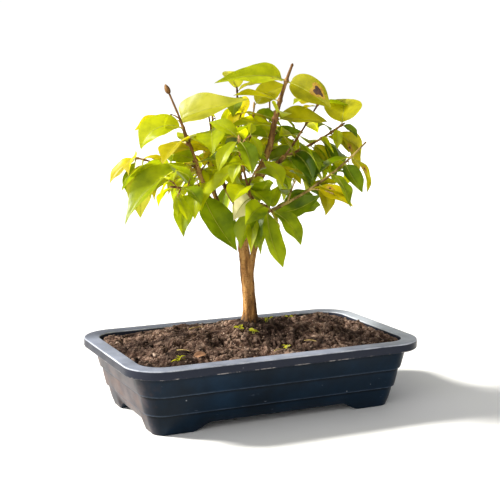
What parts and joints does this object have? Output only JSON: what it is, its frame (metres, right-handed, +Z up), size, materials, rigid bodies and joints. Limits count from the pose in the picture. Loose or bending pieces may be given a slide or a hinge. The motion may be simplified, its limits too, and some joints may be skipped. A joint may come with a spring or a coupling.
{
  "type": "surinam cherry bonsai in a tray",
  "caption": "Small bonsai tree with a slender forked trunk and an open crown of drooping oval leaves, planted in a low stepped rectangular tray filled with soil.",
  "frame": {"origin": "on the ground under the middle of the tray", "axes": "+Z up, X along the tray's long side, -Y towards the tray's front"},
  "size_m": [0.24, 0.146, 0.2672],
  "materials": {
    "tray": "satin dark slate plastic with a paler worn rim",
    "soil": "crumbly moist potting soil",
    "bark": "thin tan bark with fine flecks",
    "leaf": "glossy yellow-green leaves"
  },
  "bodies": {
    "root": {"tray": "tray", "soil": "soil", "trunk": "bark", "second_stem": "bark", "bough_left": "bark", "bough_inner": "bark", "bough_front": "bark", "bough_back_left": "bark", "bough_mid": "bark", "bough_back": "bark", "bough_right": "bark", "spray_leader": "leaf", "spray_left_tall": "leaf", "spray_left_pale": "leaf", "spray_left_far": "leaf", "spray_left_low": "leaf", "spray_inner_left": "leaf", "spray_inner_tall": "leaf", "spray_inner_right": "leaf", "spray_right_long": "leaf", "spray_right_up": "leaf", "spray_right_tall": "leaf", "spray_front": "leaf", "spray_centre": "leaf", "spray_back": "leaf", "spray_back_right": "leaf", "spray_back_tall": "leaf", "spray_back_left": "leaf", "spray_back_low": "leaf", "spray_back_high": "leaf"}
  },
  "joints": []
}
